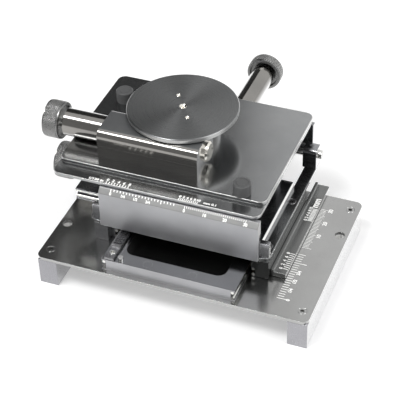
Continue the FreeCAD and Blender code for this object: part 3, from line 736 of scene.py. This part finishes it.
def slanted_front(face):
    return face.normal.y < -SLANT_LIMIT and face.normal.z > SLANT_LIMIT


def slanted_right(face):
    return face.normal.x > SLANT_LIMIT and face.normal.z > SLANT_LIMIT


# Turned and knurled forms

def frame_on(origin, axis):
    """A matrix that takes +Z to the axis and the origin to a place."""
    turn = Vector(axis).normalized().to_track_quat("Z", "Y").to_matrix().to_4x4()
    return Matrix.Translation(Vector(origin)) @ turn


def turned(work, place, rings, sides):
    """Skins a stack of rings. Each ring is a height and a radius, or a height and a function of the turn."""
    grid = []
    for height, reach in rings:
        if reach == 0.0:
            grid.append([work.verts.new(place @ Vector((0.0, 0.0, height)))])
            continue
        ring = []
        for side in range(sides):
            turn = 2 * math.pi * side / sides
            radius = reach(turn) if callable(reach) else reach
            point = Vector((radius * math.cos(turn), radius * math.sin(turn), height))
            ring.append(work.verts.new(place @ point))
        grid.append(ring)
    for first, second in zip(grid, grid[1:]):
        for side in range(sides):
            after = (side + 1) % sides
            if len(first) == 1:
                work.faces.new((first[0], second[side], second[after]))
            elif len(second) == 1:
                work.faces.new((first[side], second[0], first[after]))
            else:
                work.faces.new((first[side], second[side], second[after], first[after]))
    return grid


def close_mesh(name, work):
    bmesh.ops.recalc_face_normals(work, faces=work.faces)
    mesh = bpy.data.meshes.new(name)
    work.to_mesh(mesh)
    work.free()
    smooth_by_angle(mesh, TURNED_SMOOTH_ANGLE)
    return mesh


def knurl_height(turn, along, pitch):
    """0 at the bottom of a groove, 1 on a diamond's crown."""
    first = turn * KNURL_COUNT / (2 * math.pi) + along / pitch
    second = turn * KNURL_COUNT / (2 * math.pi) - along / pitch
    ridge = min(abs((first % 1.0) - 0.5), abs((second % 1.0) - 0.5))
    return min(1.0, ridge * KNURL_SLOPE)


def knob_mesh(name, radius, length):
    """Outer face at z = 0, the shaft's side at z = length."""
    work = bmesh.new()
    pitch = 2 * math.pi * radius / KNURL_COUNT * KNURL_LEAN
    rim = KNOB_RIM * MM
    turn_in = rim * KNOB_RIM_TURN
    dish = radius * KNOB_DISH_SHARE
    sink = KNOB_DISH_DEPTH * MM
    depth = KNURL_DEPTH * MM
    edge = radius - depth
    land = radius - rim
    rings = [
        (sink, 0.0), (sink, dish - rim / 3), (sink * KNOB_DISH_TURN, dish), (0.0, dish + rim / 4),
        (0.0, land), (turn_in, radius - turn_in), (rim * KNOB_RIM_END, edge),
    ]
    heights = {}
    for row in range(KNURL_ROWS + 1):
        z = rim + (length - 2 * rim) * row / KNURL_ROWS
        fade = min(1.0, row / KNURL_FADE_ROWS, (KNURL_ROWS - row) / KNURL_FADE_ROWS)
        heights[len(rings)] = (z, fade)
        rings.append((z, lambda turn, z=z, fade=fade: edge + depth * fade * knurl_height(turn, z, pitch)))
    back = KNOB_BACK_DEPTH * MM
    rings += [
        (length - rim * KNOB_RIM_END, edge), (length - turn_in, radius - turn_in), (length, land),
        (length, radius * KNOB_BACK_SHARE), (length - back, radius * KNOB_BACK_SHARE - rim / 2),
        (length - back, 0.0),
    ]
    columns = KNURL_COUNT * KNURL_STEPS
    grid = turned(work, Matrix.Identity(4), rings, columns)
    crown = [KNOB_PLAIN_SHADE] * len(work.verts)
    work.verts.index_update()
    for index, (z, fade) in heights.items():
        for side, vert in enumerate(grid[index]):
            crown[vert.index] = fade * knurl_height(2 * math.pi * side / columns, z, pitch)
    mesh = close_mesh(name, work)
    mesh.attributes.new("knurl", "FLOAT", "POINT").data.foreach_set("value", crown)
    return mesh


def knob(node, axis_index, outward):
    low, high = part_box(node)
    centre = (low + high) / 2.0
    length = high[axis_index] - low[axis_index]
    other = (axis_index + 1) % 3
    radius = (high[other] - low[other]) / 2.0
    start = centre.copy()
    start[axis_index] = high[axis_index] if outward > 0 else low[axis_index]
    inward = Vector((0.0, 0.0, 0.0))
    inward[axis_index] = -outward
    mesh = knob_mesh(node + "_knurled", radius, length)
    mesh.transform(frame_on(start, inward))
    add_object(node + "_knurled", mesh, [MATERIAL_OF[node]], BODY_OF[node], [node])


def islands(node):
    """Low and high corner of each separate solid in a node."""
    work = bmesh.new()
    work.from_mesh(NODES[node].data)
    bmesh.ops.remove_doubles(work, verts=work.verts, dist=WELD * MM)
    left = set(work.verts)
    corners = []
    while left:
        group = [left.pop()]
        for vert in group:
            for edge in vert.link_edges:
                other = edge.other_vert(vert)
                if other in left:
                    left.discard(other)
                    group.append(other)
        places = [vert.co for vert in group]
        low = Vector([min(place[axis] for place in places) for axis in range(3)])
        high = Vector([max(place[axis] for place in places) for axis in range(3)])
        corners.append((low, high))
    work.free()
    return sorted(corners, key=lambda pair: tuple(pair[0]))


def hexagon(reach):
    """Distance to the side of a hexagon whose corners lie at the reach."""
    sixth = math.pi / 3
    return lambda turn: reach * math.cos(sixth / 2) / math.cos((turn % sixth) - sixth / 2)


def socket_screws(node, socket_share=0.5, dish=0.0):
    """Countersunk heads with a hexagon socket, flat or dished, on the node's own screws."""
    work = bmesh.new()
    for low, high in islands(node):
        centre = (low + high) / 2.0
        radius = (high.x - low.x) / 2.0
        place = Matrix.Translation((centre.x, centre.y, high.z))
        socket = radius * socket_share
        shank = radius * SHANK
        bottom = low.z - high.z
        rings = [
            (-SOCKET_TIP * radius, 0.0),
            (-SOCKET_FLOOR * radius, hexagon(socket * SOCKET_TAPER)),
            ((-SOCKET_LIP - dish) * radius, hexagon(socket)),
            (-dish * radius, hexagon(socket * SOCKET_CHAMFER)),
            (0.0, radius * HEAD_LAND),
            (-HEAD_EDGE * radius, radius),
            (-HEAD_CONE * radius, shank),
            (bottom, shank),
            (bottom, 0.0),
        ]
        turned(work, place, rings, SCREW_SIDES)
    mesh = close_mesh(node + "_socket", work)
    add_object(node + "_socket", mesh, [MATERIAL_OF[node]], BODY_OF[node], [node])


def finished_pegs():
    """Two stop pegs: a broken rim and a turned groove in the flat top."""
    work = bmesh.new()
    for low, high in islands("pegs"):
        centre = (low + high) / 2.0
        radius = (high.x - low.x) / 2.0
        tall = high.z - low.z
        place = Matrix.Translation((centre.x, centre.y, low.z))
        rim = PEG_RIM * MM
        floor = tall - rim / 2
        outer_lip, outer_foot, inner_foot, inner_lip = (radius * share for share in PEG_GROOVE)
        rings = [
            (0.0, 0.0), (0.0, radius), (tall - rim, radius), (tall, radius - rim), (tall, outer_lip),
            (floor, outer_foot), (floor, inner_foot), (tall, inner_lip), (tall, 0.0),
        ]
        turned(work, place, rings, PEG_SIDES)
    mesh = close_mesh("pegs_finished", work)
    add_object(
        "pegs_finished", mesh, [MATERIAL_OF["pegs"]], BODY_OF["pegs"], ["pegs"]
    )


# Scales: flat painted strokes just proud of their surface

def stroke(work, place, centre, width, start, end):
    """A tick on the plane of the matrix: centre and width along its X, start to end along its Y."""
    half = width / 2.0
    left = centre - half
    right = centre + half
    corners = [(left, start), (right, start), (right, end), (left, end)]
    work.faces.new([work.verts.new(place @ Vector((x * MM, y * MM, 0.0))) for x, y in corners])


def plane_matrix(origin, along, up):
    """Origin in millimetres; X runs along the scale, Y runs with the ticks, Z is the surface normal."""
    along = Vector(along).normalized()
    up = Vector(up).normalized()
    normal = along.cross(up)
    turn = Matrix((along, up, normal)).transposed().to_4x4()
    rise = normal * PAINT_RISE * MM
    return Matrix.Translation(Vector(origin) * MM + rise) @ turn


def figures(text, place, x, y, height, bold=0.09, stretch=1.0):
    """Outline figures turned into a mesh, centred on x and standing on y, in the plane's own frame."""
    curve = bpy.data.curves.new("figures", "FONT")
    curve.body = text
    curve.size = height * MM * FONT_SIZE_PER_HEIGHT
    curve.align_x = "CENTER"
    curve.offset = bold * MM
    curve.resolution_u = 3
    holder = bpy.data.objects.new("figures", curve)
    bpy.context.scene.collection.objects.link(holder)
    bpy.context.view_layer.update()
    mesh = bpy.data.meshes.new_from_object(holder.evaluated_get(bpy.context.evaluated_depsgraph_get()))
    bpy.data.objects.remove(holder)
    bpy.data.curves.remove(curve)
    widen = Matrix.Scale(stretch, 4, Vector((1.0, 0.0, 0.0)))
    mesh.transform(place @ Matrix.Translation(Vector((x * MM, y * MM, 0.0))) @ widen)
    return mesh


def finish_scale(name, work, meshes, node):
    for mesh in meshes:
        work.from_mesh(mesh)
        bpy.data.meshes.remove(mesh)
    result = bpy.data.meshes.new(name)
    work.to_mesh(result)
    work.free()
    add_object(name, result, [GLOWING_PAINT], BODY_OF[node])


def main_scale(name, place, node, zeros, ticks, inch_width, mm_width, labels):
    """An inch in sixteenths with a quarter more, and thirty millimetres, in one line.

    Ticks are the lengths of the short, middle and long strokes. A label is its text, x, y and height.
    """
    work = bmesh.new()
    inch_zero, mm_zero = zeros
    short, middle, long = ticks
    for part in range(INCH_TICKS):
        reach = long if part in (0, INCH_PARTS) else middle if part % 4 == 0 else short
        stroke(work, place, inch_zero + INCH * part / INCH_PARTS, inch_width, 0.0, -reach)
    for part in range(MM_SPAN + 1):
        reach = long if part in (0, MM_SPAN) else middle if part % 5 == 0 else short
        stroke(work, place, mm_zero + part, mm_width, 0.0, -reach)
    words = [figures(text, place, x, y, height) for text, x, y, height in labels]
    finish_scale(name, work, words, node)


def vernier(work, place, zero, span, parts, reach, text_y, height, width):
    """Draws the strokes and gives back the figures over every other one."""
    words = []
    for part in range(parts + 1):
        stroke(work, place, zero + span * part / parts, width, 0.0, reach)
    for part in range(0, parts + 1, 2):
        words.append(figures(str(part), place, zero + span * part / parts, text_y, height, bold=0.10))
    return words


def fraction_labels(zero, y, height):
    return [(text, zero + INCH * part / 4, y, height) for part, text in ((1, "1/4"), (2, "1/2"), (3, "3/4"))]


def ten_labels(zero, y, height):
    return [(str(part), zero + part, y, height) for part in (10, 20, 30)]


def front_scale():
    low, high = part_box("front_rail")
    foot = Vector((0.0, low.y, high.z - BEVEL_DROP * MM)) / MM
    crown = Vector((0.0, low.y + BEVEL_RUN * MM, high.z)) / MM
    place = plane_matrix(crown, (1, 0, 0), crown - foot)
    labels = [("0", FRONT_INCH_ZERO, FRONT_LABEL_Y, 1.5)]
    labels += fraction_labels(FRONT_INCH_ZERO, FRONT_FRACTION_Y, 1.3)
    labels.append(("0", FRONT_MM_ZERO, FRONT_LABEL_Y, 1.5))
    labels += ten_labels(FRONT_MM_ZERO, FRONT_LABEL_Y, 1.5)
    main_scale(
        "front_scale",
        place,
        "front_rail",
        zeros=(FRONT_INCH_ZERO, FRONT_MM_ZERO),
        ticks=(1.0, 1.0, 1.7),
        inch_width=0.46,
        mm_width=0.30,
        labels=labels,
    )


def front_vernier():
    low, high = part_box("vernier_plate")
    place = plane_matrix((0.0, low.y / MM + VERNIER_SET_BACK, high.z / MM), (1, 0, 0), (0, 1, 0))
    work = bmesh.new()
    inch = (VERNIER_INCH_ZERO, INCH_VERNIER, INCH_VERNIER_PARTS)
    metric = (VERNIER_MM_ZERO, MM_VERNIER, MM_VERNIER_PARTS)
    words = vernier(work, place, *inch, reach=1.5, text_y=1.9, height=1.7, width=0.42)
    words += vernier(work, place, *metric, reach=1.5, text_y=1.9, height=1.5, width=0.40)
    inch_unit = VERNIER_INCH_ZERO - INCH_UNIT_BEFORE
    mm_unit = VERNIER_MM_ZERO + MM_VERNIER + MM_UNIT_AFTER
    words.append(figures("1/128 in", place, inch_unit, 0.6, height=1.5, bold=0.10, stretch=1.15))
    words.append(figures("mm 0.1", place, mm_unit, 1.2, height=1.4, bold=0.08, stretch=1.1))
    finish_scale("front_vernier", work, words, "vernier_plate")


def side_scale():
    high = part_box("base_plate")[1]
    place = plane_matrix((SIDE_TICK_START, 0.0, high.z / MM), (0, 1, 0), (-1, 0, 0))
    labels = fraction_labels(SIDE_INCH_ZERO, SIDE_FRACTION_Y, 1.7)
    labels.append(("0", SIDE_INCH_ZERO, SIDE_LABEL_Y, 1.8))
    labels.append(("1", SIDE_INCH_ZERO + INCH, SIDE_LABEL_Y, 1.7))
    labels += ten_labels(SIDE_MM_ZERO, SIDE_LABEL_Y, 2.1)
    main_scale(
        "side_scale",
        place,
        "base_plate",
        zeros=(SIDE_INCH_ZERO, SIDE_MM_ZERO),
        ticks=(3.0, 3.6, 4.6),
        inch_width=0.32,
        mm_width=0.24,
        labels=labels,
    )


def side_vernier():
    low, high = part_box("y_vernier_bar")
    origin = (high.x / MM - BAR_SET_BACK, 0.0, low.z / MM + BAR_STEP_HEIGHT)
    place = plane_matrix(origin, (0, 1, 0), (-1, 0, 0))
    work = bmesh.new()
    inch = (BAR_INCH_ZERO, INCH_VERNIER, INCH_VERNIER_PARTS)
    metric = (BAR_MM_ZERO, MM_VERNIER, MM_VERNIER_PARTS)
    words = vernier(work, place, *inch, reach=2.3, text_y=2.6, height=1.6, width=0.42)
    words += vernier(work, place, *metric, reach=2.3, text_y=2.6, height=1.6, width=0.55)
    words.append(figures("mm", place, BAR_MM_ZERO + MM_VERNIER + BAR_UNIT_AFTER, 0.6, height=3.4, bold=0.20))
    finish_scale("side_vernier", work, words, "y_vernier_bar")


# Surroundings

def add_all(tree, light_path, names):
    total = light_path.outputs[names[0]]
    for name in names[1:]:
        node = tree.nodes.new("ShaderNodeMath")
        node.operation = "ADD"
        node.use_clamp = True
        tree.links.new(total, node.inputs[0])
        tree.links.new(light_path.outputs[name], node.inputs[1])
        total = node.outputs["Value"]
    return total


def stage_object(name, corners, faces, material):
    mesh = bpy.data.meshes.new(name)
    mesh.from_pydata(corners, [], faces)
    obj = bpy.data.objects.new(name, mesh)
    bpy.context.scene.collection.objects.link(obj)
    mesh.materials.append(material)
    return obj


def studio_floor():
    material, tree, shader = new_material("floor_white")
    shader.inputs["Base Color"].default_value = (FLOOR_SHADE, FLOOR_SHADE, FLOOR_SHADE, 1.0)
    shader.inputs["Roughness"].default_value = 0.9
    shader.inputs["Specular IOR Level"].default_value = 0.0
    light_path = tree.nodes.new("ShaderNodeLightPath")
    seen = add_all(tree, light_path, ("Is Camera Ray", "Is Glossy Ray", "Is Transmission Ray"))
    lift = tree.nodes.new("ShaderNodeMath")
    lift.operation = "MULTIPLY"
    lift.inputs[1].default_value = FLOOR_LIFT
    tree.links.new(seen, lift.inputs[0])
    shader.inputs["Emission Color"].default_value = (1.0, 1.0, 1.0, 1.0)
    tree.links.new(lift.outputs["Value"], shader.inputs["Emission Strength"])
    half = FLOOR_HALF
    corners = [(-half, -half, 0), (half, -half, 0), (half, half, 0), (-half, half, 0)]
    stage_object("floor", corners, [(0, 1, 2, 3)], material)


def dark_card(name, first, last, bottom, top, glow):
    """A dark curved card round the set, seen by the metal alone.

    First and last run from +Y toward -X, bottom and top are heights over the floor, all in degrees.
    """
    material, tree, shader = new_material(name + "_cloth")
    shade = colour_ramp(tree, noise(tree, 3.0), (0.02, 0.02, 0.02), (0.03, 0.03, 0.03))
    tree.links.new(shade, shader.inputs["Base Color"])
    shader.inputs["Roughness"].default_value = 0.9
    shader.inputs["Emission Color"].default_value = (1.0, 1.0, 1.0, 1.0)
    shader.inputs["Emission Strength"].default_value = glow
    corners = []
    faces = []
    for step in range(CARD_STEPS + 1):
        turn = math.radians(first + (last - first) * step / CARD_STEPS)
        for height in (bottom, top):
            rise = math.radians(height)
            corners.append((
                -CARD_DISTANCE * math.sin(turn) * math.cos(rise),
                CARD_DISTANCE * math.cos(turn) * math.cos(rise),
                CARD_DISTANCE * math.sin(rise),
            ))
        if step:
            end = 2 * step
            faces.append((end - 2, end, end + 1, end - 1))
    card = stage_object(name, corners, faces, material)
    card.visible_camera = False
    card.visible_diffuse = False
    card.visible_transmission = False
    card.visible_shadow = False


def studio_world():
    world = bpy.data.worlds.new("studio")
    bpy.context.scene.world = world
    world.use_nodes = True
    tree = world.node_tree
    background = tree.nodes["Background"]
    background.inputs["Color"].default_value = (1.0, 1.0, 1.0, 1.0)
    light_path = tree.nodes.new("ShaderNodeLightPath")
    seen = add_all(tree, light_path, ("Is Camera Ray", "Is Glossy Ray", "Is Transmission Ray"))
    strength = tree.nodes.new("ShaderNodeMapRange")
    strength.inputs["To Min"].default_value = WORLD_FILL
    strength.inputs["To Max"].default_value = 1.0
    tree.links.new(seen, strength.inputs["Value"])
    tree.links.new(strength.outputs["Result"], background.inputs["Strength"])


def soft_lamp(name, place, size, power):
    data = bpy.data.lights.new(name, "AREA")
    data.shape = "RECTANGLE"
    data.size = size[0]
    data.size_y = size[1]
    data.energy = power
    lamp = bpy.data.objects.new(name, data)
    bpy.context.scene.collection.objects.link(lamp)
    lamp.location = place
    lamp.rotation_euler = (Vector(LAMP_TARGET) - Vector(place)).to_track_quat("-Z", "Y").to_euler()


def camera():
    azimuth = math.radians(CAMERA_AZIMUTH)
    elevation = math.radians(CAMERA_ELEVATION)
    roll = math.radians(CAMERA_ROLL)
    back = Vector((
        math.sin(azimuth) * math.cos(elevation),
        -math.cos(azimuth) * math.cos(elevation),
        math.sin(elevation),
    ))
    level_right = (-back).cross(Vector((0.0, 0.0, 1.0))).normalized()
    level_up = level_right.cross(-back)
    right = math.cos(roll) * level_right + math.sin(roll) * level_up
    up = math.cos(roll) * level_up - math.sin(roll) * level_right
    data = bpy.data.cameras.new("camera")
    data.lens = CAMERA_LENS
    data.sensor_width = SENSOR_WIDTH
    data.clip_start = 0.01
    data.clip_end = 50.0
    view = bpy.data.objects.new("camera", data)
    bpy.context.scene.collection.objects.link(view)
    turn = Matrix((right, up, back)).transposed().to_4x4()
    view.matrix_world = Matrix.Translation(Vector(CAMERA_PLACE) * MM) @ turn
    bpy.context.scene.camera = view


camera()
studio_world()
studio_floor()
dark_card("back_left_card", first=19.0, last=118.0, bottom=2.0, top=53.0, glow=0.035)
dark_card("front_low_card", first=118.0, last=262.0, bottom=2.0, top=37.0, glow=0.34)
dark_card("front_high_card", first=118.0, last=262.0, bottom=37.0, top=57.0, glow=0.30)
soft_lamp("overhead_lamp", place=(-0.32, -0.44, 1.06), size=(0.6, 0.22), power=7.0)
soft_lamp("side_lamp", place=(0.85, -0.05, 0.8), size=(0.7, 0.7), power=4.0)
bpy.context.scene.view_settings.view_transform = "Standard"

for node, obj in NODES.items():
    dress(obj, MATERIAL_OF[node])
    if len(obj.data.polygons):
        smooth_by_angle(obj.data)

# The walls of the plate's bores take the darker black oxide: painted shade in the bores.
break_edges("base_plate", PLATE_BREAK, trim=OXIDE, trimmed_face=plate_bore)
plate_low, plate_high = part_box("base_plate")
for node, side in (("leg_left", plate_low.x), ("leg_right", plate_high.x)):
    rear_corner = Vector((side, plate_high.y, 0.0))
    # The bores, and the rounded rear corner too, take the bare bore finish with its painted glow.
    break_edges(node, PLATE_BREAK, trim=GLOWING_BORE, trimmed_face=bored, corner=rear_corner)
# Broken edges of the plates and guide block, and the disc's sides, take the cut edge finish, partly a
# painted highlight.
break_edges("vernier_plate", WIDE_BREAK, edge_trim=CUT_AND_HIGHLIGHT)
break_edges("top_plate", WIDE_BREAK, edge_trim=CUT_AND_HIGHLIGHT)
break_edges("carriage_bed", PLATE_BREAK)
break_edges("guide_block", PLATE_BREAK, trim=FACE, trimmed_face=front_side, edge_trim=CUT_AND_HIGHLIGHT)
break_edges("front_rail", PLATE_BREAK, trim=BEVEL, trimmed_face=slanted_front)
# The saddle's slanted right face takes the near-white painted highlight.
break_edges("saddle", FINE_BREAK, trim=PAINTED_HIGHLIGHT, trimmed_face=slanted_right)
for node in ("rail_right", "rail_left", "rear_plate", "x_core"):
    break_edges(node, BLOCK_BREAK)
break_edges("head_housing", BLOCK_BREAK, trim=BLASTED, trimmed_face=level)
for node in ("y_vernier_bar", "end_blocks", "rod_brackets", "y_drive_housing", "gib", "rear_rail", "spacer"):
    break_edges(node, PLATE_BREAK)
break_edges("disc", FINE_BREAK, trim=CUT_AND_HIGHLIGHT, trimmed_face=upright)

knob("y_knob", axis_index=0, outward=-1)
knob("head_knob", axis_index=0, outward=-1)
knob("x_knob", axis_index=1, outward=1)
finished_pegs()
socket_screws("plate_screws", socket_share=0.45)
socket_screws("bed_screws")
socket_screws("y_rack_screws")
socket_screws("disc_screws", socket_share=0.36, dish=0.35)

front_scale()
front_vernier()
side_scale()
side_vernier()
